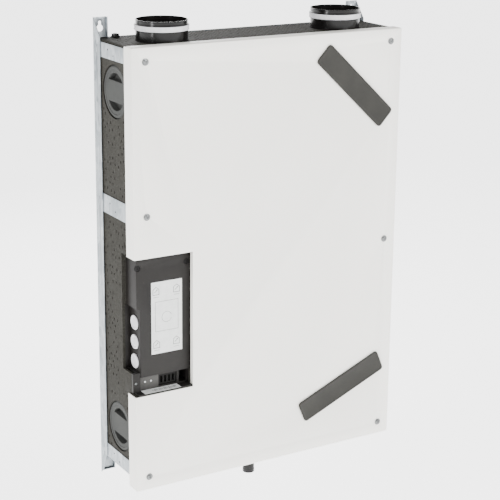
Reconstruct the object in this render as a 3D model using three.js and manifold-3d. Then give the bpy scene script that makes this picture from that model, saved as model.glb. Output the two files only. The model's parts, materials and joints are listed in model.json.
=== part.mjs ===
// Wall-hung heat recovery ventilation unit: a foam body in two halves behind a sheet-steel front panel,
// with four duct spigots, a counterflow heat exchanger, two fans and two filters. Millimetres, +Z up.
//
// Everything is laid out from the panel's lower left corner: x runs to the right, z runs up, and y is
// zero on the wall and negative towards the room. The group at the end moves the unit so that its
// origin lies on the wall plane, behind the middle of the panel.

import * as THREE from "three";
import { RoundedBoxGeometry } from "three/addons/geometries/RoundedBoxGeometry.js";
import { mergeVertices } from "three/addons/utils/BufferGeometryUtils.js";
import Module from "manifold-3d";

const wasm = await Module();
wasm.setup();

// ---------- Driving dimensions ----------

const GAP = 0.3; // clearance between touching pieces
const SHEET = 1.5; // steel sheet
const DEPTH = 202; // wall to the panel's front face
const FRONT = -DEPTH;

const panel = { width: 746, height: 1080, sideFlange: 40, endFlange: 32, bend: 4 };
const cutout = { right: 155, low: 245.5, high: 586.5, returnFlange: 13.5 };

const wallLane = 1.8; // between the foam and the outside of the steel
const foam = {
  left: 2 * wallLane,
  right: panel.width - 2 * wallLane,
  low: 24,
  high: panel.height - SHEET - GAP,
  front: FRONT + SHEET + GAP,
  corner: 6,
  wall: 30,
};
const cavity = { front: -172, back: -30 };
const DUCT_Y = -105; // the ducts' centre line, and the split between the foam's two halves

const spigot = { radius: 62, wall: 2.5, columns: [126, 609], rise: 49, drop: 40, inside: 28 };
const band = { fromRim: 12, height: 12, thickness: 2.2 };
const plug = { radius: 62.6, rows: [137, 966], thickness: 28, grip: 25, finger: 44, fingerDepth: 17 };

const exchanger = { x: 373, z: 540, tilt: 10, halfWidth: 170, halfBody: 170, faceSlope: 33, depth: 140 };
const filter = { length: 236, thickness: 38, depth: 138, board: 2.5, pleats: 13 };
const filterPlaces = [
  { end: "upper", x: 607, z: 945, slope: -43 },
  { end: "lower", x: 590, z: 161, slope: 23 },
];
const filterCover = { length: 262, width: 58, corner: 10, thickness: 4 };

const fan = { wheel: 60, width: 54, scroll: 66, growth: 20, wall: 2, front: -98, back: -30.6, eye: 44 };
const fanPlaces = [
  { end: "upper", x: 318, z: 905, up: 1 },
  { end: "lower", x: 296, z: 165, up: -1 },
];

const rail = { web: 33, side: 36, lip: 12, top: 1126, foot: -27, webFoot: -19 };
const keyhole = { x: 17, z: 1099.5, radius: 8.3, slot: 3.75, slotTop: 1113.3 };
const strap = { tab: 58, back: -2 };
const strapRows = {
  left: { top: [1038.3, 1073.3], middle: [666, 711.5], bottom: [29.7, 66] },
  right: { top: [1038.3, 1073.3], middle: [520, 564], bottom: [29.7, 66] },
};
const screwPlaces = [[34, 1047], [34, 687], [34, 35], [712, 1049], [712, 541], [712, 34]];

const controlBox = {
  left: 14.7,
  right: 155.5,
  low: 286.4,
  high: 580,
  front: -181.4,
  back: -128.4,
  wall: 2.3,
};
const cableBay = { x: 24, low: 298, high: 458 }; // the side recess that the cables enter through
const lower = { left: 9.4, front: -175, low: 250, high: 287 };
const lid = { front: FRONT + 18, thickness: 2.3, screwRadius: 8, screwZ: 560, screws: [17, 147] };
const grommet = { radius: 18, hole: 15, y: -154, rows: [320.5, 369.5, 418] };

const drain = { x: 372, radius: 16, wall: 2.5, low: -68 };
const tray = { left: 222, right: 425, low: 54.6, high: 72, wall: 2, spout: 11.5 };

// ---------- Finishes ----------

const finishes = {
  white: { color: 0xe4e3df, roughness: 0.42, metalness: 0.1 },
  foam: { color: 0x55534c, roughness: 0.92, metalness: 0 },
  cover: { color: 0x4a4843, roughness: 0.6, metalness: 0 },
  black: { color: 0x1c1b1a, roughness: 0.3, metalness: 0 },
  box: { color: 0x35322f, roughness: 0.55, metalness: 0 },
  zinc: { color: 0xb4b8ba, roughness: 0.4, metalness: 0.85 },
  seal: { color: 0xe6e6e6, roughness: 0.6, metalness: 0 },
  screw: { color: 0xa9aba9, roughness: 0.35, metalness: 0.9 },
  media: { color: 0xe9e7dc, roughness: 0.95, metalness: 0 },
  plates: { color: 0xd5dade, roughness: 0.35, metalness: 0 },
  wheel: { color: 0x3a3d40, roughness: 0.5, metalness: 0 },
  motor: { color: 0x8d9093, roughness: 0.4, metalness: 0.8 },
  board: { color: 0x2f6b3f, roughness: 0.5, metalness: 0 },
};

const unit = new THREE.Group();

function addPart(name, geometry, finish, parent = unit) {
  const mesh = new THREE.Mesh(geometry, new THREE.MeshStandardMaterial(finishes[finish]));
  mesh.name = name;
  parent.add(mesh);
  return mesh;
}

// ---------- Cutting and joining ----------

function solidOf(geometry) {
  const bare = geometry.index ? geometry.toNonIndexed() : geometry.clone();
  bare.deleteAttribute("normal");
  bare.deleteAttribute("uv");
  const merged = mergeVertices(bare, 1e-4);
  const triVerts = new Uint32Array(merged.index.array);
  const vertProperties = merged.attributes.position.array;
  return new wasm.Manifold(new wasm.Mesh({ numProp: 3, vertProperties, triVerts }));
}

function geometryOf(solid) {
  const mesh = solid.getMesh();
  const geometry = new THREE.BufferGeometry();
  geometry.setAttribute("position", new THREE.BufferAttribute(mesh.vertProperties, 3));
  geometry.setIndex(new THREE.BufferAttribute(mesh.triVerts, 1));
  geometry.computeVertexNormals();
  return geometry;
}

function join(...pieces) {
  return geometryOf(pieces.map(solidOf).reduce((whole, piece) => whole.add(piece)));
}

function cut(body, ...tools) {
  const whole = tools.map(solidOf).reduce((left, tool) => left.subtract(tool), solidOf(body));
  return geometryOf(whole);
}

// ---------- Shapes ----------

// A box between the low and high corners [x], [y] and [z].
function box(x, y, z) {
  const geometry = new THREE.BoxGeometry(x[1] - x[0], y[1] - y[0], z[1] - z[0]);
  return geometry.translate((x[0] + x[1]) / 2, (y[0] + y[1]) / 2, (z[0] + z[1]) / 2);
}

function roundedBox(x, y, z, radius) {
  const geometry = new RoundedBoxGeometry(x[1] - x[0], y[1] - y[0], z[1] - z[0], 1, radius);
  return geometry.translate((x[0] + x[1]) / 2, (y[0] + y[1]) / 2, (z[0] + z[1]) / 2);
}

function polygon(points) {
  return new THREE.Shape(points.map(([a, b]) => new THREE.Vector2(a, b)));
}

// A rectangle with rounded corners, between two corners.
function roundedRect(a, b, radius) {
  const shape = new THREE.Shape();
  shape.absarc(a[1] - radius, b[1] - radius, radius, 0, Math.PI / 2);
  shape.absarc(a[0] + radius, b[1] - radius, radius, Math.PI / 2, Math.PI);
  shape.absarc(a[0] + radius, b[0] + radius, radius, Math.PI, 1.5 * Math.PI);
  shape.absarc(a[1] - radius, b[0] + radius, radius, 1.5 * Math.PI, 2 * Math.PI);
  return shape;
}

// An outline in x and z, pushed through from y[0] to y[1].
function frontPlate(shape, y, bevel = 0, curveSegments = 5) {
  const geometry = new THREE.ExtrudeGeometry(shape, {
    depth: y[1] - y[0] - 2 * bevel,
    bevelEnabled: bevel > 0,
    bevelSize: bevel,
    bevelThickness: bevel,
    bevelOffset: -bevel,
    bevelSegments: 1,
    curveSegments,
  });
  return geometry.rotateX(Math.PI / 2).translate(0, y[1] - bevel, 0);
}

// An outline in x and y, pushed up from z[0] to z[1].
function planPlate(shape, z) {
  const geometry = new THREE.ExtrudeGeometry(shape, { depth: z[1] - z[0], bevelEnabled: false });
  return geometry.translate(0, 0, z[0]);
}

// An outline in y and z, pushed across from x[0] to x[1].
function sidePlate(shape, x, curveSegments = 8) {
  const options = { depth: x[1] - x[0], bevelEnabled: false, curveSegments };
  const geometry = new THREE.ExtrudeGeometry(shape, options);
  const axes = new THREE.Matrix4().makeBasis(
    new THREE.Vector3(0, 1, 0),
    new THREE.Vector3(0, 0, 1),
    new THREE.Vector3(1, 0, 0),
  );
  return geometry.applyMatrix4(axes).translate(x[0], 0, 0);
}

// A shape of revolution with its axis along x, y or z through the given point. The profile holds
// [radius, height] pairs; it starts and ends on the axis, or closes on itself. The lathe's faces point
// out where the profile runs anticlockwise, so any other is reversed.
function turned(profile, axis, at, segments = 24) {
  const points = profile.map(([radius, height]) => new THREE.Vector2(radius, height));
  if (THREE.ShapeUtils.area(points) < 0) points.reverse();
  const geometry = new THREE.LatheGeometry(points, segments);
  if (axis === "z") geometry.rotateX(Math.PI / 2);
  if (axis === "x") geometry.rotateZ(-Math.PI / 2);
  return geometry.translate(...at);
}

function ring(inner, outer, low, high) {
  return [[inner, low], [outer, low], [outer, high], [inner, high], [inner, low]];
}

function cylinder(radius, range, axis, at, segments = 24) {
  const geometry = new THREE.CylinderGeometry(radius, radius, range[1] - range[0], segments);
  const middle = (range[0] + range[1]) / 2;
  if (axis === "z") return geometry.rotateX(Math.PI / 2).translate(at[0], at[1], middle);
  if (axis === "x") return geometry.rotateZ(Math.PI / 2).translate(middle, at[0], at[1]);
  return geometry.translate(at[0], middle, at[1]);
}

// Turns a shape drawn round x = 0, z = 0 by a slope in degrees and puts it at x, z.
function sloped(geometry, place) {
  return geometry.rotateY((-place.slope * Math.PI) / 180).translate(place.x, 0, place.z);
}

// ---------- Front panel and its fasteners ----------

function filterOpening(y, clearance) {
  const half = [filter.length / 2 + clearance, filter.thickness / 2 + clearance];
  return filterPlaces.map((place) =>
    sloped(frontPlate(roundedRect([-half[0], half[0]], [-half[1], half[1]], 5), y), place),
  );
}

function makePanel() {
  const { width, height, sideFlange, endFlange, bend } = panel;
  const deep = 2 * sideFlange;
  const outside = roundedBox([0, width], [FRONT, FRONT + deep], [0, height], bend);
  const inside = roundedBox(
    [SHEET, width - SHEET],
    [FRONT + SHEET, FRONT + SHEET + deep],
    [SHEET, height - SHEET],
    bend - SHEET,
  );
  const beyond = box([-1, width + 1], [FRONT + sideFlange, 0], [-1, height + 1]);
  const between = [SHEET + GAP, width - SHEET - GAP];
  const endTrims = [[-1, 8], [height - 8, height + 1]].map((z) =>
    box(between, [FRONT + endFlange, 0], z),
  );
  const window = box([-1, cutout.right], [FRONT - 1, 0], [cutout.low, cutout.high]);
  const holes = screwPlaces.map(([x, z]) => cylinder(3, [FRONT - 1, FRONT + 5], "y", [x, z], 12));
  const slots = filterOpening([FRONT - 1, FRONT + 5], 3);
  const tray = cut(outside, inside, beyond, ...endTrims, window, ...holes, ...slots);
  const returnFlange = box(
    [cutout.right, cutout.right + SHEET],
    [FRONT + 0.4, FRONT + cutout.returnFlange],
    [cutout.low + 2, cutout.high - GAP],
  );
  addPart("front_panel", join(tray, returnFlange), "white");
}

function makeScrews() {
  const washer = { radius: 8.6, thickness: 1.2 };
  const head = { radius: 5.8, height: 2.8 };
  const shank = { radius: 2.2, length: 22 };
  const profile = [
    [0, GAP + washer.thickness + head.height],
    [head.radius * 0.6, GAP + washer.thickness + head.height * 0.85],
    [head.radius, GAP + washer.thickness + head.height * 0.3],
    [head.radius, GAP + washer.thickness],
    [washer.radius, GAP + washer.thickness],
    [washer.radius, GAP],
    [shank.radius, GAP],
    [shank.radius, -shank.length],
    [0, -shank.length],
  ].map(([radius, out]) => [radius, -out]);
  screwPlaces.forEach(([x, z], i) => {
    addPart(`panel_screw_${i + 1}`, turned(profile, "y", [x, FRONT, z], 12), "screw");
  });
}

// ---------- Rails and straps ----------

// A point's x on the left side, or its mirror image on the right side.
const across = (side, x) => (side === "left" ? x : panel.width - x);

const span = (side, a, b) => [across(side, a), across(side, b)].sort((p, q) => p - q);

function makeRail(side) {
  const { web, side: flange, lip, top, foot, webFoot } = rail;
  const outline = [
    [0, 0],
    [0, -flange],
    [SHEET, -flange],
    [SHEET, -SHEET],
    [web - SHEET, -SHEET],
    [web - SHEET, -lip],
    [web, -lip],
    [web, 0],
  ].map(([x, y]) => [across(side, x), y]);
  const channel = planPlate(polygon(outline), [foot, top]);
  const topCorner = [
    [-SHEET, top + 1],
    [-SHEET, top - 1],
    [-flange, 1084],
    [-flange - 1, 1084],
    [-flange - 1, top + 1],
  ];
  const footCorner = [
    [-SHEET, foot - 1],
    [-SHEET, foot + 1],
    [-13, -15],
    [-24, 18],
    [-31, 29.5],
    [-flange - 1, 33],
    [-flange - 1, foot - 1],
  ];
  const sideFlange = span(side, -1, SHEET);
  const shelf = box(span(side, 1, web - 1), [-10, -1], [webFoot, webFoot + SHEET]);
  const eye = [across(side, keyhole.x), keyhole.z];
  const through = [-3, 1];
  return cut(
    join(
      cut(
        channel,
        sidePlate(polygon(topCorner), sideFlange),
        sidePlate(polygon(footCorner), sideFlange),
        box(span(side, SHEET, web + 1), [-lip - 1, 1], [foot - 1, webFoot]),
      ),
      shelf,
    ),
    cylinder(keyhole.radius, through, "y", eye, 24),
    cylinder(keyhole.slot, through, "y", [eye[0], keyhole.slotTop], 16),
    box([eye[0] - keyhole.slot, eye[0] + keyhole.slot], through, [keyhole.z, keyhole.slotTop]),
  );
}

function makeStrap(side, z) {
  const face = FRONT + SHEET + GAP;
  const outline = [
    [wallLane, strap.back],
    [wallLane, face + panel.bend],
    [wallLane + 1, face + 1],
    [wallLane + panel.bend, face],
    [strap.tab, face],
    [strap.tab, face + SHEET],
    [wallLane + SHEET, face + SHEET],
    [wallLane + SHEET, strap.back],
  ].map(([x, y]) => [across(side, x), y]);
  const screws = screwPlaces.filter(([x, at]) => at > z[0] && at < z[1] && (x < 373) === (side === "left"));
  const holes = screws.map(([x, at]) => cylinder(2.6, [FRONT, FRONT + 6], "y", [x, at], 12));
  return cut(planPlate(polygon(outline), z), ...holes);
}

function makeSteelwork() {
  for (const side of ["left", "right"]) {
    addPart(`rail_${side}`, makeRail(side), "zinc");
    for (const [row, z] of Object.entries(strapRows[side])) {
      addPart(`strap_${side}_${row}`, makeStrap(side, z), "zinc");
    }
  }
}

// ---------- Heat exchanger ----------

// The exchanger's outline: a hexagon that leans over so that condensate runs to one lower corner.
function hexagon(grow) {
  const { x, z, tilt, halfWidth, halfBody, faceSlope } = exchanger;
  const lean = (tilt * Math.PI) / 180;
  const along = [Math.sin(lean), Math.cos(lean)];
  const over = [Math.cos(lean), -Math.sin(lean)];
  const halfEnd = halfWidth * Math.tan((faceSlope * Math.PI) / 180);
  const corner = (u, v) => [x + u * along[0] + v * over[0], z + u * along[1] + v * over[1]];
  const w = halfWidth + grow;
  const body = halfBody + grow * 0.3;
  const tip = halfBody + halfEnd + grow * 1.2;
  const rightSide = [corner(body, w), corner(-body, w)];
  const leftSide = [corner(-body, -w), corner(body, -w)];
  return [corner(tip, 0), ...rightSide, corner(-tip, 0), ...leftSide];
}

function makeExchanger() {
  const back = cavity.back - 1;
  const front = back - exchanger.depth;
  const endPlate = 3;
  const plates = 12;
  const pitch = (exchanger.depth - 2 * endPlate - 2) / plates;
  const sheets = [];
  for (let i = 0; i < plates; i += 1) {
    const y = front + endPlate + 1 + pitch * (i + 0.5);
    sheets.push(frontPlate(polygon(hexagon(-1.5)), [y - 0.8, y + 0.8]));
  }
  const inner = [front + endPlate + 1, back - endPlate - 1];
  const edge = hexagon(-1.5);
  const rib = hexagon(-4);
  const walls = [
    [edge[1], edge[2], rib[2], rib[1]],
    [edge[5], edge[4], rib[4], rib[5]],
    [
      [exchanger.x - 1.5, edge[0][1] - 60],
      [exchanger.x + 1.5, edge[0][1] - 60],
      [exchanger.x + 1.5, edge[3][1] + 60],
      [exchanger.x - 1.5, edge[3][1] + 60],
    ],
  ].map((outline) => frontPlate(polygon(outline), inner));
  addPart("exchanger_core", join(...walls, ...sheets), "plates");
  const ends = { front: [front, front + endPlate], back: [back - endPlate, back] };
  for (const [end, y] of Object.entries(ends)) {
    addPart(`exchanger_end_${end}`, frontPlate(polygon(hexagon(-0.5)), y), "plates");
  }
  // A foam strip lies along each long side, between the plates and the body.
  const sides = { left: [4, 5], right: [2, 1] };
  const inside = hexagon(0.5);
  const outside = hexagon(3.5);
  for (const [side, [low, high]] of Object.entries(sides)) {
    const at = (points, t) => [
      points[low][0] + (points[high][0] - points[low][0]) * t,
      points[low][1] + (points[high][1] - points[low][1]) * t,
    ];
    const strip = polygon([at(inside, 0.05), at(outside, 0.05), at(outside, 0.95), at(inside, 0.95)]);
    addPart(`exchanger_seal_${side}`, frontPlate(strip, [front + 1, back - 1]), "foam");
  }
}

// ---------- Fans ----------

// The scroll's outline. It grows from the tongue round to the outlet, which opens to the left; `up` is 1
// where the outlet is at the top of the scroll and -1 where it is at the bottom.
function scrollOutline(place, offset) {
  const steps = 18;
  const points = [];
  for (let i = 0; i <= steps; i += 1) {
    const t = i / steps;
    const angle = ((170 + 280 * t) * Math.PI) / 180;
    const radius = fan.scroll + fan.growth * t + offset;
    points.push([place.x + radius * Math.cos(angle), place.z + place.up * radius * Math.sin(angle)]);
  }
  const outlet = 197;
  const top = place.z + place.up * (fan.scroll + fan.growth + offset);
  const bottom = place.z + place.up * (14 - offset);
  return [...points, [outlet, top], [outlet, bottom]];
}

function makeFanHousing(place) {
  const { front, back, wall, eye } = fan;
  const shell = frontPlate(polygon(scrollOutline(place, wall)), [front, back]);
  const mouth = turned(ring(eye, eye + 4, front - 4, front + 1), "y", [place.x, 0, place.z], 32);
  const inside = frontPlate(polygon(scrollOutline(place, 0)), [front + wall, back - wall]);
  const z = [place.z + place.up * 16, place.z + place.up * (fan.scroll + fan.growth - 1)];
  const outlet = box([190, 240], [front + wall, back - wall], z.sort((a, b) => a - b));
  const intake = cylinder(eye, [front - 6, front + wall + 1], "y", [place.x, place.z], 32);
  return cut(join(shell, mouth), inside, outlet, intake);
}

function makeWheel(place) {
  const { wheel, back } = fan;
  const plate = back - 9.5;
  const front = plate - fan.width + 2;
  const cup = { inner: 36, outer: 38, front: plate - 37 };
  const hub = [
    [0, cup.front],
    [cup.outer, cup.front],
    [cup.outer, plate],
    [wheel, plate],
    [wheel, plate + 2],
    [cup.inner, plate + 2],
    [cup.inner, cup.front + 2],
    [0, cup.front + 2],
  ];
  const blades = [];
  const count = 9;
  const from = [42, 0];
  const middle = [52, -9];
  const to = [59, -22];
  const thick = 1.8;
  for (let i = 0; i < count; i += 1) {
    const outline = [
      from,
      middle,
      to,
      [to[0] - 0.5, to[1] - thick],
      [middle[0] - 1, middle[1] - thick],
      [from[0], from[1] - thick],
    ];
    const blade = frontPlate(polygon(outline), [front + 1, plate + 1]);
    blades.push(blade.rotateY((2 * Math.PI * i) / count).translate(place.x, 0, place.z));
  }
  const centre = [place.x, 0, place.z];
  const shroud = turned(ring(48, wheel, front, front + 2), "y", centre, 20);
  return join(turned(hub, "y", centre, 20), shroud, ...blades);
}

function makeMotor(place) {
  const base = fan.back - fan.wall - GAP;
  const flange = { radius: 44, thickness: 3 };
  const rotor = { radius: 35, length: 41, edge: 3 };
  const profile = [
    [0, base],
    [flange.radius, base],
    [flange.radius, base - flange.thickness],
    [rotor.radius, base - flange.thickness],
    [rotor.radius, base - rotor.length + rotor.edge],
    [rotor.radius - rotor.edge, base - rotor.length],
    [0, base - rotor.length],
  ];
  return turned(profile, "y", [place.x, 0, place.z], 28);
}

function makeFans() {
  for (const place of fanPlaces) {
    addPart(`fan_housing_${place.end}`, makeFanHousing(place), "black");
    addPart(`fan_wheel_${place.end}`, makeWheel(place), "wheel");
    addPart(`fan_motor_${place.end}`, makeMotor(place), "motor");
  }
}

// ---------- Filters and their covers ----------

function makeFilters() {
  const { length, thickness, depth, board, pleats } = filter;
  const y = [cavity.front, cavity.front + depth];
  const [a, b] = [length / 2, thickness / 2];
  for (const { end, x, z, slope } of filterPlaces) {
    const group = new THREE.Group();
    group.position.set(x, 0, z);
    group.rotation.y = (-slope * Math.PI) / 180;
    unit.add(group);

    const block = frontPlate(roundedRect([-a, a], [-b, b], 5), y);
    const window = box([board - a, a - board], [y[0] + board, y[1] - board], [-b - 1, b + 1]);
    addPart(`filter_frame_${end}`, cut(block, window), "media", group);

    const pitch = (length - 2 * board - 4) / pleats;
    const start = -pleats * pitch * 0.5;
    const fold = [];
    for (let i = 0; i <= 2 * pleats; i += 1) {
      fold.push([start + (i * pitch) / 2, (i % 2 ? 1 : -1) * (b - 4)]);
    }
    const back = fold.map(([s, t]) => [s, t + 3]).reverse();
    const inner = [y[0] + board + GAP, y[1] - board - GAP];
    addPart(`filter_media_${end}`, frontPlate(polygon([...fold, ...back]), inner), "media", group);

    const { length: long, width, corner, thickness: thick } = filterCover;
    const face = roundedRect([-long / 2, long / 2], [-width / 2, width / 2], corner);
    const cover = frontPlate(face, [FRONT - GAP - thick, FRONT - GAP], 1.2, 4);
    addPart(`filter_cover_${end}`, cover, "cover", group);

    const stopper = roundedRect([-a, a], [-b, b], 5);
    addPart(`cover_plug_${end}`, frontPlate(stopper, [FRONT, cavity.front - 2]), "foam", group);
  }
}

// ---------- Foam body ----------

// The chambers inside the body, seen from the front. The upper left and lower left ones each hold a fan
// and open into a port chamber; the right-hand ones lead from a port through a filter to the exchanger.
function chamberOutlines() {
  const [left, right] = [foam.left + foam.wall, foam.right - foam.wall];
  const [low, high] = [foam.low + foam.wall, foam.high - foam.wall];
  const partition = { left: 196, right: 214 };
  const core = hexagon(-25);
  const chambers = [
    hexagon(0.6),
    [[left, high], [left, 883], [partition.left, 883], [partition.left, high]],
    [[left, low], [partition.left, low], [partition.left, 222], [left, 222]],
    [
      [partition.right, high],
      [partition.right, 758],
      [237, 738],
      core[5],
      core[0],
      [419, 814],
      [409, high],
    ],
    [
      [partition.right, low],
      [440, low],
      [440, 110],
      [327, 264],
      core[3],
      core[4],
      [178, 401],
      [partition.right, 345],
    ],
    [[541, 1033], [541, high], [right, high], [right, 886], [700, 886]],
    [[514, 1004], [452, 1004], [425, 813], core[0], core[1], [569, 680], [600, 690], [672, 857]],
    [[498, 100], [498, low], [right, low], [right, 186], [697, 185]],
    [[483, 137], [330, 268], core[3], core[2], [509, 344], [620, 320], [682, 221]],
  ];
  // The exchanger's long sides have room for their foam strips.
  const wide = hexagon(4);
  chambers.push([wide[1], wide[2], core[2], core[1]], [wide[5], wide[4], core[4], core[5]]);
  return chambers.map(polygon);
}

function airways() {
  const y = [cavity.front, cavity.back];
  const passages = fanPlaces.map((place) => {
    const z = [place.z + place.up * 11.5, place.z + place.up * (fan.scroll + fan.growth + 2.5)];
    return box([190, 220], [fan.front - 0.5, cavity.back], z.sort((a, b) => a - b));
  });
  return [...chamberOutlines().map((shape) => frontPlate(shape, y)), ...passages, ...filterOpening(y, 1)];
}

function ports() {
  const { radius, columns } = spigot;
  const fit = 0.4;
  const collar = radius + 6 + fit;
  const tools = [];
  for (const x of columns) {
    const at = [x, DUCT_Y];
    tools.push(cylinder(radius + fit, [foam.high - foam.wall - 1, foam.high + 1], "z", at));
    tools.push(cylinder(radius + fit, [foam.low - 1, foam.low + foam.wall + 1], "z", at));
    tools.push(cylinder(collar, [foam.high - 19.4, foam.high - 14.6], "z", at));
    tools.push(cylinder(collar, [foam.low + 14.6, foam.low + 19.4], "z", at));
  }
  for (const z of plug.rows) {
    const at = [DUCT_Y, z];
    tools.push(cylinder(plug.radius + 0.8, [foam.left - 1, foam.left + foam.wall + 1], "x", at));
    tools.push(cylinder(plug.radius + 0.8, [foam.right - foam.wall - 1, foam.right + 1], "x", at));
  }
  const floor = [foam.low - 1, foam.low + foam.wall + 1];
  tools.push(cylinder(drain.radius + 0.5, floor, "z", [drain.x, DUCT_Y]));
  return tools;
}

function controlRecess() {
  const recess = box([-1, 157], [FRONT - 1, -128], [247, 586.6]);
  const cornerWall = box([-2, 9], [-172, -127], [246, 297]);
  return cut(recess, cornerWall);
}

function steelLanes() {
  const lanes = [];
  for (const side of ["left", "right"]) {
    lanes.push(box(span(side, 0, rail.web + 0.4), [-SHEET - 0.4, 1], [0, 1100]));
    lanes.push(box(span(side, rail.web - SHEET - 0.4, rail.web + 0.4), [-rail.lip - 0.4, 1], [0, 1100]));
    for (const z of Object.values(strapRows[side])) {
      const clear = [z[0] - 0.5, z[1] + 0.5];
      lanes.push(box(span(side, 0, strap.tab + 0.5), [FRONT, foam.front + SHEET + GAP], clear));
    }
  }
  return lanes;
}

function makeBody() {
  const outline = roundedRect([foam.left, foam.right], [foam.low, foam.high], foam.corner);
  const hollows = [...airways(), ...ports(), ...steelLanes()];
  const wells = screwPlaces.map(([x, z]) => cylinder(2.8, [FRONT, FRONT + 26], "y", [x, z], 10));
  const slots = filterOpening([FRONT, cavity.front + 1], 1);
  const edge = 3.5;
  const block = frontPlate(outline, [foam.front, DUCT_Y + 2 * edge], edge, 3);
  const beyond = box([0, panel.width], [DUCT_Y - GAP / 2, 0], [0, panel.height]);
  addPart("body_front", cut(block, beyond, ...hollows, controlRecess(), ...wells, ...slots), "foam");
  const back = frontPlate(outline, [DUCT_Y + GAP / 2, 0], 0, 3);
  addPart("body_back", cut(back, ...hollows), "foam");
}

// ---------- Spigots, bands and port plugs ----------

// One spigot's profile: the foot inside the body, a collar that the two halves clamp, and the tube.
function spigotProfile(length) {
  const { radius, wall, inside } = spigot;
  const inner = radius - wall;
  return [
    [inner, -inside],
    [radius, -inside],
    [radius, -19],
    [radius + 6, -19],
    [radius + 6, -15],
    [radius, -15],
    [radius, length - 1],
    [radius - 1, length],
    [inner, length],
    [inner, -inside],
  ];
}

function makeSpigots() {
  const ends = [
    { name: "top", face: foam.high, way: 1, length: spigot.rise },
    { name: "bottom", face: foam.low, way: -1, length: spigot.drop },
  ];
  const bandInner = spigot.radius + GAP;
  const bandOuter = bandInner + band.thickness;
  for (const { name, face, way, length } of ends) {
    spigot.columns.forEach((x, i) => {
      const label = `${name}_${i === 0 ? "left" : "right"}`;
      const at = [x, DUCT_Y, face];
      addPart(`spigot_${label}`, turnedUp(spigotProfile(length), way, at), "black");
      const low = length - band.fromRim - band.height;
      const loop = ring(bandInner, bandOuter, low, low + band.height);
      addPart(`seal_band_${label}`, turnedUp(loop, way, at), "seal");
    });
  }
}

// A turned piece whose heights run along +z where way is 1, or along -z where way is -1.
function turnedUp(profile, way, at, segments = 24) {
  return turned(profile.map(([radius, height]) => [radius, way * height]), "z", at, segments);
}

function makePlugs() {
  const { radius, rows, thickness, grip, finger, fingerDepth } = plug;
  const chamfer = 2.5;
  const ends = ["lower", "upper"];
  for (const side of ["left", "right"]) {
    const face = across(side, foam.left + 1);
    const inward = side === "left" ? 1 : -1;
    rows.forEach((z, i) => {
      const profile = [
        [0, 0],
        [radius - chamfer, 0],
        [radius, chamfer],
        [radius, thickness],
        [0, thickness],
      ].map(([r, h]) => [r, inward * h]);
      const disc = turned(profile, "x", [face, DUCT_Y, z]);
      const x = [face - inward, face + inward * fingerDepth].sort((a, b) => a - b);
      const start = Math.asin(grip / finger);
      const pockets = [0, Math.PI].map((turn) => {
        const shape = new THREE.Shape();
        shape.absarc(DUCT_Y, z, finger, start + turn, Math.PI - start + turn);
        return sidePlate(shape, x, 12);
      });
      addPart(`port_plug_${side}_${ends[i]}`, cut(disc, ...pockets), "foam");
    });
  }
}

// ---------- Control box ----------

function makeControlBase() {
  const { left, right, low, high, front, back, wall } = controlBox;
  const shell = join(
    box([left, right], [front, back], [low, high]),
    box([lower.left, right], [lower.front, back], [lower.low, lower.high]),
    box([lower.left, right - 1.1], [FRONT + 0.8, lower.front + 1], [lower.low - 2.6, lower.low + 0.2]),
    box([foam.left + GAP, 22.6], [front, -172.4], [lower.low, cableBay.low]),
  );
  const deep = [front - 5, back - wall];
  const holes = grommet.rows.map((z) =>
    cylinder(grommet.hole, [cableBay.x - 1, cableBay.x + wall + 1], "x", [grommet.y, z], 24),
  );
  return cut(
    shell,
    box([left - 1, cableBay.x], [front - 1, back + 1], [cableBay.low, cableBay.high]),
    box([cableBay.x + wall, right - wall], deep, [low + wall, high - wall]),
    box([left + wall, cableBay.x + wall + 1], deep, [cableBay.high + wall, high - wall]),
    box([76, 124], [lower.front - 1, lower.front + 25], [254, 281]),
    box([130, 152], [lower.front - 1, lower.front + 36], [253, 283]),
    ...holes,
  );
}

function makeLid() {
  const { left, right, low, high } = controlBox;
  const outline = polygon([
    [left, high],
    [left, cableBay.high],
    [cableBay.x, cableBay.high],
    [cableBay.x, low],
    [right, low],
    [right, high],
  ]);
  const y = [lid.front, lid.front + lid.thickness];
  const holes = lid.screws.map((x) =>
    cylinder(lid.screwRadius, [y[0] - 1, y[1] + 1], "y", [x, lid.screwZ], 20),
  );
  return cut(frontPlate(outline, y, 0.8), ...holes);
}

function makeControls() {
  addPart("control_base", makeControlBase(), "box");
  addPart("control_lid", makeLid(), "box");
  const poles = [0, 1, 2, 3].map((i) => {
    const x = 81 + 10.5 * i;
    return box([x, x + 6], [lower.front, lower.front + 12], [259, 276]);
  });
  const socket = cut(box([77, 123], [lower.front + 3, lower.front + 24], [255, 280]), ...poles);
  addPart("supply_socket", socket, "box");
  addPart("control_board", box([34, 148], [-139, -137.4], [300, 570]), "board");
  grommet.rows.forEach((z, i) => {
    const { radius, hole, y } = grommet;
    const profile = [
      [0, -2.6],
      [radius - 5, -2.6],
      [radius - 3.5, -3.4],
      [radius - 1, -3.4],
      [radius, -2.4],
      [radius, -GAP],
      [hole - 0.5, -GAP],
      [hole - 0.5, 5],
      [0, 5],
    ];
    addPart(`cable_grommet_${i + 1}`, turned(profile, "x", [cableBay.x, y, z], 20), "seal");
  });
  const head = [[0, -2.4], [2.2, -2.1], [3.4, -GAP], [0, -GAP]];
  addPart("control_screw", turned(head, "y", [11, controlBox.front, 273], 14), "screw");
}

// ---------- Condensate tray, drain and cable gland ----------

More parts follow.
